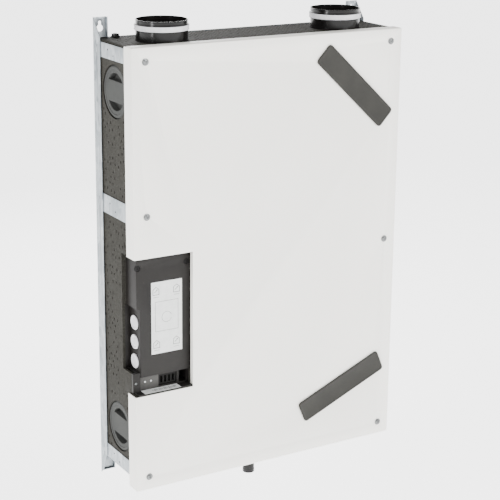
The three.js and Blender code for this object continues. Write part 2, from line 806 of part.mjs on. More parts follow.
function makeDrainage() {
  const { left, right, low, high, wall, spout } = tray;
  const y = [cavity.front + 0.4, cavity.back - 0.4];
  const at = [drain.x, DUCT_Y];
  const dish = cut(
    box([left, right], y, [low, high]),
    box([left + wall, right - wall], [y[0] + wall, y[1] - wall], [low + wall, high + 1]),
  );
  const throat = cylinder(spout - 2, [low - 20, low + wall + 1], "z", at, 20);
  const neck = cylinder(spout, [low - 16, low + 1], "z", at, 20);
  addPart("condensate_tray", cut(join(dish, neck), throat), "black");

  const { radius, low: end } = drain;
  const inner = radius - drain.wall;
  const stub = [
    [inner, end],
    [radius - 1, end],
    [radius, end + 1],
    [radius, 8],
    [22, 8],
    [22, foam.low - GAP],
    [radius, foam.low - GAP],
    [radius, foam.low + foam.wall - 1],
    [inner, foam.low + foam.wall - 1],
    [inner, end],
  ];
  addPart("drain_stub", turnedUp(stub, 1, [drain.x, DUCT_Y, 0], 20), "black");

  const gland = [[4, GAP], [11, GAP], [11, 3], [9, 4.5], [9, 9], [6, 9], [4, 7], [4, GAP]];
  addPart("top_gland", turnedUp(gland, 1, [50, -16, foam.high], 16), "black");
}

makePanel();
makeScrews();
makeSteelwork();
makeBody();
makeExchanger();
makeFans();
makeFilters();
makeSpigots();
makePlugs();
makeControls();
makeDrainage();

unit.position.set(-panel.width / 2, 0, -panel.height / 2);

const heatRecoveryUnit = new THREE.Group();
heatRecoveryUnit.add(unit);

export default heatRecoveryUnit;
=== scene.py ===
"""Looks of a wall-hung heat recovery unit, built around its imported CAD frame. Blender 4.5, metres."""

import json
import math
import random

import bmesh
import bpy
from mathutils import Matrix, Vector


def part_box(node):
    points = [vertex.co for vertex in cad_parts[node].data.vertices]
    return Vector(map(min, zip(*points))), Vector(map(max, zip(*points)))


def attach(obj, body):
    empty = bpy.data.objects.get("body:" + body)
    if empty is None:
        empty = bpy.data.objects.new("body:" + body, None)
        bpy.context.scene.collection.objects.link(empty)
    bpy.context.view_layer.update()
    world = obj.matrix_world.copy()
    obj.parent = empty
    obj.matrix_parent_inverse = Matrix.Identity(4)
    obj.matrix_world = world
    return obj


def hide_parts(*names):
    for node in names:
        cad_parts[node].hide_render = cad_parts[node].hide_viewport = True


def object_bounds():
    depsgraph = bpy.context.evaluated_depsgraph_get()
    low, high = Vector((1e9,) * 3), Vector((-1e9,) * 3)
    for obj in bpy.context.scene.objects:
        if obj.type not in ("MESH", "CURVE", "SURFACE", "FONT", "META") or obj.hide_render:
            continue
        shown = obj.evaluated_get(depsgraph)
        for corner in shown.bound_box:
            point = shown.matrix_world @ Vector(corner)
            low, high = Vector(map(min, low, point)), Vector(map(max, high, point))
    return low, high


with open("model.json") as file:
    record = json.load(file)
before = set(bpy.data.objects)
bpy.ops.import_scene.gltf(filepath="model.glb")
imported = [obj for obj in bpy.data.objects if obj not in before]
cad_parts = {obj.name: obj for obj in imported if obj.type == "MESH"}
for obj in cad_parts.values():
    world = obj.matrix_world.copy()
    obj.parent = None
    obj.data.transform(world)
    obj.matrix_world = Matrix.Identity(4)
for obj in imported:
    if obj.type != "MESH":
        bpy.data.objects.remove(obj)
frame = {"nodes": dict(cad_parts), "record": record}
cad_low, cad_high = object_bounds()

MM = 0.001
LEFT, FRONT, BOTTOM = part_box("front_panel")[0]
FOAM_LOW, FOAM_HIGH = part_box("body_back")
ENDS = ("upper", "lower")
SIDES = ("left", "right")
ROWS = ("top", "middle", "bottom")
RISES = ("top", "bottom")


# ---------- Camera, light and floor ----------


def make_camera():
    eye = Vector((-1.769, -3.049, 1.021))
    azimuth = math.radians(30.95)
    down = math.radians(15.45)
    roll = math.radians(0.565)
    right = Vector((math.cos(azimuth), -math.sin(azimuth), 0))
    forward = Vector(
        (math.sin(azimuth) * math.cos(down), math.cos(azimuth) * math.cos(down), -math.sin(down))
    )
    up = right.cross(forward)
    across = right * math.cos(roll) + up * math.sin(roll)
    above = up * math.cos(roll) - right * math.sin(roll)
    data = bpy.data.cameras.new("camera")
    data.sensor_width = 36
    data.lens = 103
    data.shift_y = -0.06
    camera = bpy.data.objects.new("camera", data)
    turn = Matrix((across, above, -forward)).transposed().to_4x4()
    camera.matrix_world = Matrix.Translation(eye) @ turn
    bpy.context.scene.collection.objects.link(camera)
    bpy.context.scene.camera = camera


def make_light(name, place, aim, size, power):
    data = bpy.data.lights.new(name, "AREA")
    data.shape = "RECTANGLE"
    data.size, data.size_y = size
    data.energy = power
    light = bpy.data.objects.new(name, data)
    light.location = place
    light.rotation_euler = (Vector(aim) - Vector(place)).to_track_quat("-Z", "Y").to_euler()
    bpy.context.scene.collection.objects.link(light)


def make_studio():
    world = bpy.data.worlds.new("studio")
    bpy.context.scene.world = world
    world.use_nodes = True
    nodes, links = world.node_tree.nodes, world.node_tree.links
    background = nodes["Background"]
    background.inputs["Color"].default_value = (1, 1, 1, 1)
    height = nodes.new("ShaderNodeSeparateXYZ")
    links.new(nodes.new("ShaderNodeTexCoord").outputs["Generated"], height.inputs["Vector"])
    fade = nodes.new("ShaderNodeMapRange")
    fade.inputs["From Min"].default_value = 0.0
    fade.inputs["From Max"].default_value = 0.7
    fade.inputs["To Min"].default_value = 2.4
    fade.inputs["To Max"].default_value = 0.4
    links.new(height.outputs["Z"], fade.inputs["Value"])
    links.new(fade.outputs["Result"], background.inputs["Strength"])
    make_light("key", (1.6, -3.6, 2.0), (0, 0, 0), (1.8, 1.8), 150)
    make_light("window_left", (-3.2, -1.2, 0.9), (0, 0, 0.1), (0.4, 2.4), 70)
    make_light("over", (0, 0.2, 3.0), (0, 0, 0), (2.4, 1.2), 6)
    make_light("behind", (0.6, 3.2, 1.6), (0, 0, 0), (2.0, 2.0), 90)

    reach, drop = 14, 0.35
    level = cad_low.z - drop
    corners = [(-reach, -reach), (reach, -reach), (reach, reach), (-reach, reach)]
    bm = bmesh.new()
    bm.faces.new([bm.verts.new((x, y, level)) for x, y in corners])
    mesh = bpy.data.meshes.new("floor")
    bm.to_mesh(mesh)
    bm.free()
    floor = bpy.data.objects.new("floor", mesh)
    bpy.context.scene.collection.objects.link(floor)
    floor.data.materials.append(make_floor_material())


# ---------- Materials ----------


def linear(*rgb):
    """An sRGB colour of 0 to 255 as a linear one."""
    channels = [c / 255 for c in rgb]
    return tuple(c / 12.92 if c <= 0.04045 else ((c + 0.055) / 1.055) ** 2.4 for c in channels) + (1,)


class Surface:
    """A Principled material whose colour, roughness and bump come from procedural patterns."""

    def __init__(self, name, roughness, metallic=0.0, specular=0.5):
        self.material = bpy.data.materials.new(name)
        self.material.use_nodes = True
        self.tree = self.material.node_tree
        self.shader = self.tree.nodes["Principled BSDF"]
        self.shader.inputs["Roughness"].default_value = roughness
        self.shader.inputs["Metallic"].default_value = metallic
        self.shader.inputs["Specular IOR Level"].default_value = specular
        self.place = self.tree.nodes.new("ShaderNodeTexCoord").outputs["Object"]
        self.normal = None

    def link(self, source, socket):
        self.tree.links.new(source, socket)

    def stretched(self, scale):
        node = self.tree.nodes.new("ShaderNodeMapping")
        self.link(self.place, node.inputs["Vector"])
        node.inputs["Scale"].default_value = scale
        return node.outputs["Vector"]

    def noise(self, scale, detail=4.0, roughness=0.55, stretch=None):
        node = self.tree.nodes.new("ShaderNodeTexNoise")
        self.link(self.stretched(stretch) if stretch else self.place, node.inputs["Vector"])
        node.inputs["Scale"].default_value = scale
        node.inputs["Detail"].default_value = detail
        node.inputs["Roughness"].default_value = roughness
        return node.outputs["Fac"]

    def cells(self, scale, feature="F1", output="Distance", stretch=None):
        node = self.tree.nodes.new("ShaderNodeTexVoronoi")
        node.feature = feature
        self.link(self.stretched(stretch) if stretch else self.place, node.inputs["Vector"])
        node.inputs["Scale"].default_value = scale
        return node.outputs[output]

    def ramp(self, value, *stops):
        node = self.tree.nodes.new("ShaderNodeValToRGB")
        self.link(value, node.inputs["Fac"])
        ends = node.color_ramp.elements
        for i, (position, colour) in enumerate(stops):
            stop = ends[i] if i < 2 else ends.new(position)
            stop.position = position
            stop.color = colour
        return node.outputs["Color"]

    def spread(self, value, low, high):
        node = self.tree.nodes.new("ShaderNodeMapRange")
        self.link(value, node.inputs["Value"])
        node.inputs["To Min"].default_value = low
        node.inputs["To Max"].default_value = high
        return node.outputs["Result"]

    def blend(self, first, second, amount):
        """The first colour multiplied by the second."""
        node = self.tree.nodes.new("ShaderNodeMix")
        node.data_type = "RGBA"
        node.blend_type = "MULTIPLY"
        node.inputs["Factor"].default_value = amount
        self.link(first, node.inputs[6])
        self.link(second, node.inputs[7])
        return node.outputs[2]

    def colour(self, source):
        self.link(source, self.shader.inputs["Base Color"])
        return self

    def gloss(self, value, low, high):
        self.link(self.spread(value, low, high), self.shader.inputs["Roughness"])
        return self

    def bump(self, height, distance, strength=1.0):
        node = self.tree.nodes.new("ShaderNodeBump")
        node.inputs["Distance"].default_value = distance
        node.inputs["Strength"].default_value = strength
        self.link(height, node.inputs["Height"])
        if self.normal:
            self.link(self.normal, node.inputs["Normal"])
        self.normal = node.outputs["Normal"]
        self.link(self.normal, self.shader.inputs["Normal"])
        return self


def make_floor_material():
    """Pale paper that gives off some light of its own, so that it stays nearly white."""
    s = Surface("floor_paper", 0.9)
    s.shader.inputs["Emission Color"].default_value = (1, 1, 1, 1)
    s.shader.inputs["Emission Strength"].default_value = 3.0
    tone = s.ramp(s.noise(3), (0.3, linear(250, 250, 250)), (0.7, linear(253, 253, 253)))
    return s.colour(tone).material


def powder_coat():
    s = Surface("white_powder_coat", 0.42)
    cloud = s.ramp(s.noise(2.2, 3), (0.3, linear(236, 234, 227)), (0.7, linear(241, 239, 233)))
    grain = s.ramp(s.noise(420, 3), (0.35, linear(250, 250, 249)), (0.65, linear(255, 255, 255)))
    s.colour(s.blend(cloud, grain, 0.6)).gloss(s.noise(60), 0.36, 0.48)
    return s.bump(s.noise(750, 3), 0.00005, 0.5).material


def bead_foam():
    s = Surface("bead_foam", 0.9, specular=0.12)
    bead_scale = 260
    tone = s.ramp(
        s.cells(bead_scale, output="Color"),
        (0.1, linear(43, 42, 38)),
        (0.9, linear(54, 53, 49)),
    )
    seam = s.ramp(
        s.cells(bead_scale, "DISTANCE_TO_EDGE"),
        (0.0, linear(190, 190, 190)),
        (0.09, linear(255, 255, 255)),
    )
    patch = s.ramp(s.noise(9, 5), (0.3, linear(212, 210, 204)), (0.7, linear(255, 255, 255)))
    s.colour(s.blend(s.blend(tone, seam, 0.6), patch, 0.7)).gloss(s.noise(120), 0.66, 0.84)
    s.bump(s.cells(bead_scale, "DISTANCE_TO_EDGE"), 0.0003, 0.5)
    return s.bump(s.noise(1600, 3), 0.0001, 0.5).material


def galvanised():
    s = Surface("galvanised_steel", 0.4, metallic=0.85)
    spangle = s.ramp(
        s.cells(110, output="Color", stretch=(1, 1, 0.45)),
        (0.1, linear(136, 142, 146)),
        (0.9, linear(174, 179, 182)),
    )
    haze = s.ramp(s.noise(14, 6), (0.3, linear(215, 218, 220)), (0.7, linear(255, 255, 255)))
    s.colour(s.blend(spangle, haze, 0.7)).gloss(s.noise(40, 6), 0.3, 0.52)
    return s.bump(s.noise(500, 4, stretch=(1, 1, 0.2)), 0.00004, 0.6).material


def gloss_black():
    s = Surface("gloss_black_plastic", 0.2, specular=0.24)
    s.colour(s.ramp(s.noise(30, 5), (0.3, linear(11, 10, 10)), (0.7, linear(18, 17, 16))))
    s.gloss(s.noise(90, 5), 0.12, 0.22)
    return s.bump(s.noise(700, 3), 0.00003, 0.5).material


def moulded(name, dark, light, rough=(0.45, 0.62), grain=1400, specular=0.22):
    """Plastic with a fine moulded grain."""
    s = Surface(name, sum(rough) / 2, specular=specular)
    cloud = s.ramp(s.noise(12, 5), (0.3, dark), (0.7, light))
    speck = s.ramp(s.noise(grain, 2), (0.35, linear(225, 225, 225)), (0.65, linear(255, 255, 255)))
    s.colour(s.blend(cloud, speck, 0.6)).gloss(s.noise(grain * 0.6), *rough)
    return s.bump(s.noise(grain, 2), 0.00008, 0.7).material


def plated_screw():
    s = Surface("plated_screw", 0.3, metallic=0.9)
    s.colour(s.ramp(s.noise(260, 5), (0.3, linear(92, 94, 94)), (0.7, linear(132, 134, 134))))
    s.gloss(s.noise(500, 3), 0.24, 0.42)
    return s.bump(s.noise(2200, 2), 0.00003, 0.6).material


def soft_rubber():
    s = Surface("white_rubber", 0.6)
    s.colour(s.ramp(s.noise(70, 5), (0.3, linear(198, 197, 199)), (0.7, linear(216, 215, 217))))
    s.gloss(s.noise(180), 0.5, 0.7)
    return s.bump(s.noise(1500, 2), 0.00006, 0.6).material


def card():
    s = Surface("filter_card", 0.85)
    fibre = s.noise(260, 6, stretch=(1, 3, 1))
    s.colour(s.ramp(fibre, (0.3, linear(208, 200, 180)), (0.7, linear(232, 227, 212))))
    return s.gloss(s.noise(90), 0.75, 0.95).bump(fibre, 0.00015, 0.7).material


def fleece():
    s = Surface("filter_fleece", 0.95)
    fibre = s.noise(700, 8, 0.7, stretch=(1, 1, 2.5))
    dust = s.ramp(s.noise(25, 6), (0.3, linear(225, 222, 212)), (0.7, linear(255, 255, 255)))
    tone = s.ramp(fibre, (0.3, linear(214, 211, 200)), (0.7, linear(244, 242, 235)))
    s.colour(s.blend(tone, dust, 0.6)).gloss(s.noise(300), 0.88, 1.0)
    return s.bump(fibre, 0.0004, 0.8).material


def plastic_film():
    s = Surface("exchanger_film", 0.3)
    ridge = s.cells(160, stretch=(1, 1, 0.1))
    s.colour(s.ramp(ridge, (0.1, linear(184, 192, 198)), (0.7, linear(222, 228, 232))))
    return s.gloss(s.noise(80), 0.25, 0.42).bump(ridge, 0.0003, 0.6).material


def cast_metal():
    s = Surface("cast_aluminium", 0.45, metallic=0.85)
    s.colour(s.ramp(s.noise(140, 6), (0.3, linear(140, 142, 144)), (0.7, linear(176, 178, 180))))
    return s.gloss(s.noise(220), 0.35, 0.55).bump(s.noise(900, 4), 0.00012, 0.7).material


def solder_mask():
    s = Surface("circuit_board", 0.45)
    track = s.cells(90, "DISTANCE_TO_EDGE", stretch=(1, 1, 0.3))
    s.colour(s.ramp(track, (0.05, linear(70, 128, 84)), (0.12, linear(38, 88, 54))))
    return s.gloss(s.noise(200), 0.35, 0.5).bump(track, 0.00005, 0.5).material


def paper_label():
    s = Surface("label_paper", 0.5)
    s.colour(s.ramp(s.noise(90, 6), (0.3, linear(204, 206, 204)), (0.7, linear(216, 218, 216))))
    return s.gloss(s.noise(160), 0.42, 0.58).bump(s.noise(1200, 3), 0.00002, 0.5).material


def print_ink():
    s = Surface("print_ink", 0.6)
    s.colour(s.ramp(s.noise(900, 3), (0.3, linear(50, 52, 52)), (0.7, linear(78, 80, 80))))
    return s.gloss(s.noise(400), 0.5, 0.7).material


PAINT = {
    "white_panel": powder_coat(),
    "foam_body": bead_foam(),
    "cover_plastic": moulded("cover_plastic", linear(33, 32, 29), linear(42, 41, 37)),
    "black_plastic": gloss_black(),
    "box_plastic": moulded("box_plastic", linear(20, 18, 17), linear(27, 25, 23)),
    "zinc_steel": galvanised(),
    "white_seal": soft_rubber(),
    "screw_steel": plated_screw(),
    "filter_board": card(),
    "filter_media": fleece(),
    "exchanger_plastic": plastic_film(),
    "wheel_plastic": moulded("wheel_plastic", linear(46, 49, 52), linear(64, 67, 70)),
    "motor_metal": cast_metal(),
    "circuit_board": solder_mask(),
}
PLUG_FOAM = moulded("plug_foam", linear(50, 51, 50), linear(62, 63, 61), rough=(0.7, 0.85), grain=700)
BOX_GREY = moulded("box_grey", linear(60, 59, 57), linear(72, 71, 69))
# Black plastic of the inlet socket; also used on the lid screws, where the black is painted shade of
# their deep wells
DEEP_BLACK = moulded("deep_black", linear(10, 9, 9), linear(17, 16, 15), rough=(0.6, 0.8))
LABEL = paper_label()
INK = print_ink()

SLOT_OF = {row["node"]: row["material_slot"] for row in frame["record"]["subparts"]}
BODY_OF = {
    node: body
    for body, nodes in frame["record"]["behaviour"]["bodies"].items()
    for node in nodes
}


def paint_frame():
    for node, obj in frame["nodes"].items():
        obj.data.materials.clear()
        obj.data.materials.append(PAINT[SLOT_OF[node]])


# ---------- Making pieces ----------


def piece(name, bm, node, material=None, smooth=32, stands_in=True):
    """Turns a bmesh into a piece that rides with the CAD node's body and takes its slot."""
    bmesh.ops.recalc_face_normals(bm, faces=bm.faces)
    mesh = bpy.data.meshes.new(name)
    bm.to_mesh(mesh)
    bm.free()
    for face in mesh.polygons:
        face.use_smooth = True
    mesh.set_sharp_from_angle(angle=math.radians(smooth))
    mesh.materials.append(material or PAINT[SLOT_OF[node]])
    obj = bpy.data.objects.new(name, mesh)
    bpy.context.scene.collection.objects.link(obj)
    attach(obj, BODY_OF[node])
    if stands_in:
        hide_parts(node)
    return obj


def rounded(points, radius, steps=5):
    """A closed outline with each of its corners replaced by an arc."""
    made = []
    for i, point in enumerate(points):
        here = Vector(point)
        before = Vector(points[i - 1]) - here
        after = Vector(points[(i + 1) % len(points)]) - here
        half = before.angle(after) / 2
        size = radius[i] if isinstance(radius, (list, tuple)) else radius
        reach = min(size / math.tan(half), before.length * 0.48, after.length * 0.48)
        if reach < 1e-7:
            made.append(here)
            continue
        start = here + before.normalized() * reach
        end = here + after.normalized() * reach
        for k in range(steps + 1):
            t = k / steps
            made.append(start * (1 - t) ** 2 + here * 2 * t * (1 - t) + end * t * t)
    return made


def turned(profile, centre, axis, segments=96, radius=0.0, way=1):
    """A bmesh of a closed profile of (radius, height) in mm, turned about an axis through centre."""
    points = [Vector(p) * MM for p in profile]
    if radius:
        sizes = [0 if p[0] < 1e-9 else radius * MM for p in profile]
        points = rounded(points, sizes, 4)
    bm = bmesh.new()
    rings = []
    for i in range(segments):
        angle = 2 * math.pi * i / segments
        ring = []
        for p in points:
            a, b, h = p.x * math.cos(angle), p.x * math.sin(angle), way * p.y
            offset = {"x": (h, a, b), "y": (a, h, b), "z": (a, b, h)}[axis]
            ring.append(bm.verts.new(Vector(centre) + Vector(offset)))
        rings.append(ring)
    count = len(points)
    for i, ring in enumerate(rings):
        following = rings[(i + 1) % segments]
        for k in range(count):
            m = (k + 1) % count
            if points[k].x < 1e-9 and points[m].x < 1e-9:
                continue
            bm.faces.new((ring[k], ring[m], following[m], following[k]))
    bmesh.ops.remove_doubles(bm, verts=bm.verts, dist=1e-6)
    return bm


def plate(outline, low, high, axis="y", edge=0.0, steps=3):
    """A bmesh of an outline pushed along an axis, with rounded edges round both faces."""
    bm = bmesh.new()

    def spot(a, b, c):
        return {"x": (c, a, b), "y": (a, c, b), "z": (a, b, c)}[axis]

    lower = [bm.verts.new(spot(a, b, low)) for a, b in outline]
    upper = [bm.verts.new(spot(a, b, high)) for a, b in outline]
    bm.faces.new(lower)
    bm.faces.new(upper)
    count = len(outline)
    for i in range(count):
        k = (i + 1) % count
        bm.faces.new((lower[i], lower[k], upper[k], upper[i]))
    bmesh.ops.recalc_face_normals(bm, faces=bm.faces)
    if edge:
        rims = [e for e in bm.edges if (e.verts[0] in lower) == (e.verts[1] in lower)]
        bmesh.ops.bevel(bm, geom=rims, offset=edge, segments=steps, profile=0.5, affect="EDGES")
    return bm


def block(low, high, edge=0.0):
    """A bmesh of a box from one corner to the other, with rounded edges."""
    bm = bmesh.new()
    bmesh.ops.create_cube(bm, size=1)
    size = Vector(high) - Vector(low)
    middle = (Vector(high) + Vector(low)) / 2
    for v in bm.verts:
        v.co = Vector(a * b for a, b in zip(v.co, size)) + middle
    if edge:
        bmesh.ops.bevel(bm, geom=bm.edges[:], offset=edge, segments=3, profile=0.5, affect="EDGES")
    return bm


def cross_recess(x, z, near, far, arm, half_width):
    """Two crossed blocks that cut a screw's recess, from y = near to y = far."""
    return [
        block((x - a, near, z - b), (x + a, far, z + b))
        for a, b in ((arm, half_width), (half_width, arm))
    ]


def rectangle(a, b):
    return [(a[0], b[0]), (a[1], b[0]), (a[1], b[1]), (a[0], b[1])]


def merged(*parts):
    """One bmesh of all the parts, side by side."""
    whole = bmesh.new()
    for part in parts:
        mesh = bpy.data.meshes.new("part")
        part.to_mesh(mesh)
        part.free()
        whole.from_mesh(mesh)
        bpy.data.meshes.remove(mesh)
    return whole


def holder(bm, name):
    """A short-lived object that a modifier can work on."""
    mesh = bpy.data.meshes.new(name)
    bmesh.ops.recalc_face_normals(bm, faces=bm.faces)
    bm.to_mesh(mesh)
    bm.free()
    obj = bpy.data.objects.new(name, mesh)
    bpy.context.scene.collection.objects.link(obj)
    return obj


def worked(*objects):
    """The first object's mesh after its modifiers, as a bmesh. All the objects are removed."""
    result = bmesh.new()
    result.from_object(objects[0], bpy.context.evaluated_depsgraph_get())
    for obj in objects:
        mesh = obj.data
        bpy.data.objects.remove(obj)
        bpy.data.meshes.remove(mesh)
    return result


def carved(bm, *tools):
    """The first bmesh with the others cut out of it."""
    body = holder(bm, "carved")
    helpers = [holder(tool, "tool") for tool in tools]
    for helper in helpers:
        step = body.modifiers.new("step", "BOOLEAN")
        step.operation = "DIFFERENCE"
        step.solver = "EXACT"
        step.object = helper
    return worked(body, *helpers)


def softened(bm, width, segments=2, angle=35):
    """The bmesh with its sharp edges rounded off, by a width in mm."""
    body = holder(bm, "softened")
    step = body.modifiers.new("step", "BEVEL")
    step.width = width * MM
    step.segments = segments
    step.limit_method = "ANGLE"
    step.angle_limit = math.radians(angle)
    return worked(body)


def shape_of(node):
    """The CAD node's own shape, welded and with its flat faces whole."""
    bm = bmesh.new()
    bm.from_mesh(frame["nodes"][node].data)
    bmesh.ops.remove_doubles(bm, verts=bm.verts, dist=2e-6)
    bmesh.ops.dissolve_limit(bm, angle_limit=math.radians(0.5), verts=bm.verts, edges=bm.edges)
    return bm


def middle_of(node):
    low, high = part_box(node)
    return (low + high) / 2


# ---------- Front panel and screws ----------


def make_panel():
    """The folded sheet keeps the CAD cuts and gets a tight radius along every cut edge."""
    piece("panel_sheet", softened(shape_of("front_panel"), 0.45, 3, 25), "front_panel", smooth=40)


def make_screws():
    """A pan head with a cross recess on a dished washer."""
    head = [(0, 4.25), (2.8, 4.2), (4.9, 3.5), (5.8, 2.4), (5.8, 1.5), (0, 1.5)]
    washer = [(2.3, 0.35), (8.5, 0.35), (8.5, 1.0), (6.6, 1.55), (2.3, 1.55)]
    shank = [(0, 1.5), (2.2, 1.5), (2.2, -21), (0.9, -22), (0, -22)]
    arm, half_width, depth = 3.4 * MM, 0.75 * MM, 2.0 * MM
    for i in range(1, 7):
        node = f"panel_screw_{i}"
        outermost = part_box(node)[0].y
        at = middle_of(node)
        centre = (at.x, FRONT, at.z)
        recess = cross_recess(at.x, at.z, outermost - MM, outermost + depth, arm, half_width)
        top = carved(turned(head, centre, "y", 64, 0.3, way=-1), *recess)
        ring = turned(washer, centre, "y", 64, 0.2, way=-1)
        pin = turned(shank, centre, "y", 32, 0.1, way=-1)
        piece(f"screw_{i}", merged(softened(top, 0.12), ring, pin), node, smooth=38)


# ---------- Rails and straps ----------


def make_rails():
    """The hook rails, with two pressed dents beside each strap."""
    dent = [(0, -0.6), (2.4, -0.6), (1.6, 0.55), (0, 0.55)]
    dent_y = -20 * MM
    for side in SIDES:
        node = f"rail_{side}"
        low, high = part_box(node)
        outer, way = (low.x, 1) if side == "left" else (high.x, -1)
        dents = []
        for row in ROWS:
            strap_low, strap_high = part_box(f"strap_{side}_{row}")
            for share in (0.25, 0.75):
                z = strap_low.z + (strap_high.z - strap_low.z) * share
                dents.append(turned(dent, (outer, dent_y, z), "x", 24, way=way))
        bm = softened(shape_of(node), 0.35, 3)
        piece(f"{side}_wall_rail", carved(bm, merged(*dents)), node, smooth=35)


def make_straps():
    """Each strap has two small holes in its flat."""
    drill = [(0, -3), (2.1, -3), (2.1, 3), (0, 3)]
    hole_places = ((-74 * MM, 0.62), (-103 * MM, 0.3))  # y, and the share of the strap's height
    for side in SIDES:
        for row in ROWS:
            node = f"strap_{side}_{row}"
            low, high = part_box(node)
            outer = low.x if side == "left" else high.x
            height = high.z - low.z
            holes = [
                turned(drill, (outer, y, low.z + height * share), "x", 24)
                for y, share in hole_places
            ]
            bm = softened(shape_of(node), 0.35, 3)
            piece(f"{side}_{row}_strap", carved(bm, merged(*holes)), node, smooth=35)


# ---------- Foam body ----------


DIMPLE_LONG, DIMPLE_WIDE, DIMPLE_DEPTH = 7 * MM, 4 * MM, 2.6 * MM
DIMPLE_FRONT = FRONT + 46 * MM  # the dimples start behind the panel's flange
DIMPLE_EDGE = 4 * MM  # how far they keep from the edges of each half


def dimple(centre, axis, side):
    """A short slot with round ends, cut into the face that looks along the axis."""
    radius = DIMPLE_WIDE / 2
    points = []
    for k in range(8):
        angle = math.pi * (k + 0.5) / 4
        shift = (DIMPLE_LONG - DIMPLE_WIDE) / 2 * (1 if math.sin(angle) > 0 else -1)
        points.append((radius * math.cos(angle), radius * math.sin(angle) + shift))
    across = {"x": (1, 2), "y": (0, 2), "z": (1, 0)}[axis]
    flat = [(centre[across[0]] + a, centre[across[1]] + b) for a, b in points]
    at = centre["xyz".index(axis)]
    ends = sorted((at - side * DIMPLE_DEPTH, at + side * MM))
    if axis == "z":
        flat = [(b, a) for a, b in flat]
    return plate(flat, ends[0], ends[1], axis)


def clear_of(spots, a, b):
    return all(math.hypot(a - x, b - y) > r for x, y, r in spots)


def side_dimples(low, high):
    """Dimples scattered over both sides, clear of the left side's plugs, straps and control box."""
    chance = random.Random(4)
    row_pitch, pitch, stray, kept = 16, 19, 3, 0.72
    back = -42 * MM
    recess_back = -122 * MM
    around = [(p.y, p.z, 74 * MM) for p in (middle_of(f"port_plug_left_{end}") for end in ENDS)]
    straps = [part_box(f"strap_left_{row}") for row in ROWS]
    box_low, box_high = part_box("control_base")
    rows = int((FOAM_HIGH.z - FOAM_LOW.z) / (row_pitch * MM))
    columns = int((back - DIMPLE_FRONT) / (pitch * MM))
    marks = []
    for x, side in ((FOAM_LOW.x, -1), (FOAM_HIGH.x, 1)):
        for i in range(1, rows):
            z = FOAM_LOW.z + i * row_pitch * MM
            if any(a.z - 5 * MM < z < b.z + 5 * MM for a, b in straps):
                continue
            by_the_box = side < 0 and box_low.z - 9 * MM < z < box_high.z + 14 * MM
            for k in range(columns + 1):
                y = DIMPLE_FRONT + (k + 0.5 * (i % 2)) * pitch * MM
                in_recess = by_the_box and y < recess_back
                if in_recess or y > back or not (low.y + DIMPLE_EDGE < y < high.y - DIMPLE_EDGE):
                    continue
                if clear_of(around, y, z) and chance.random() < kept:
                    dy, dz = chance.uniform(-stray, stray) * MM, chance.uniform(-stray, stray) * MM
                    marks.append(dimple((x, y + dy, z + dz), "x", side))
    return marks


def end_dimples(low, high):
    """A grid of dimples on the top and the bottom, clear of the ducts, the gland and the drain."""
    first, pitch, row_pitch = 24, 14, 12
    back = -18 * MM
    ducts = [(middle_of(f"spigot_top_{s}").x, -105 * MM, 76 * MM) for s in SIDES]
    drain = middle_of("drain_stub")
    gland = middle_of("top_gland")
    extra = {1: (gland.x, gland.y, 18 * MM), -1: (drain.x, drain.y, 30 * MM)}
    count = int((FOAM_HIGH.x - FOAM_LOW.x - 40 * MM) / (pitch * MM))
    marks = []
    for z, side in ((FOAM_HIGH.z, 1), (FOAM_LOW.z, -1)):
        for i in range(count + 1):
            x = FOAM_LOW.x + (first + pitch * i) * MM
            for k in range(14):
                y = DIMPLE_FRONT + (k + 0.5 * (i % 2)) * row_pitch * MM
                if y > back or not (low.y + DIMPLE_EDGE < y < high.y - DIMPLE_EDGE):
                    continue
                if clear_of([*ducts, extra[side]], x, y):
                    marks.append(dimple((x, y, z), "z", side))
    return marks


def back_dimples():
    """A plain grid on the face that lies against the wall."""
    pitch, columns, rows = 39, 17, 26
    first_x, first_z = 62, 38
    marks = []
    for i in range(columns):
        for k in range(rows):
            x = FOAM_LOW.x + (first_x + pitch * i) * MM
            z = FOAM_LOW.z + (first_z + pitch * k) * MM
            marks.append(dimple((x, 0, z), "y", 1))
    return marks


def make_body():
    """The two foam halves, with the small dimples that steam vents leave in a mould."""
    for half in ("front", "back"):
        node = f"body_{half}"
        low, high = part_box(node)
        marks = side_dimples(low, high) + end_dimples(low, high)
        if half == "back":
            marks += back_dimples()
        piece(f"foam_{half}_half", carved(shape_of(node), merged(*marks)), node, smooth=30)


# ---------- Spigots, bands and plugs ----------


def make_spigots():
    """Each tube has a rolled rim, a bead below it and a shallow groove that holds its seal band."""
    for rise in RISES:
        for side in SIDES:
            node = f"spigot_{rise}_{side}"
            low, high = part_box(node)
            way = 1 if rise == "top" else -1
            face = FOAM_HIGH.z if rise == "top" else FOAM_LOW.z
            length = (high.z - face if way > 0 else face - low.z) / MM
            middle = (low + high) / 2
            centre = (middle.x, middle.y, face)
            outer, tube, inner = 61.9, 61.1, 59.6
            profile = [
                (inner, -28),
                (tube, -28),
                (tube, -19),
                (67.8, -19),
                (67.8, -15.2),
                (tube, -15.2),
                (tube, length - 26),
                (outer, length - 25.4),
                (outer, length - 24),
                (tube, length - 23.6),
                (tube, length - 12.2),
                (outer, length - 11.6),
                (outer, length - 9.4),
                (tube, length - 8.6),
                (tube, length - 2.6),
                (outer, length - 2),
                (outer, length - 0.6),
                (61.2, length),
                (60.4, length),
                (inner, length - 0.8),
            ]
            piece(f"duct_{rise}_{side}", turned(profile, centre, "z", 128, 0.25, way), node, smooth=30)

            band = f"seal_band_{rise}_{side}"
            start = length - 24
            lip = [
                (62.1, start + 0.1),
                (64.1, start + 0.1),
                (64.4, start + 2.4),
                (63.7, start + 4.2),
                (63.7, start + 7.8),
                (64.4, start + 9.6),
                (64.1, start + 11.9),
                (62.1, start + 11.9),
            ]
            piece(f"band_{rise}_{side}", turned(lip, centre, "z", 128, 0.7, way), band, smooth=50)


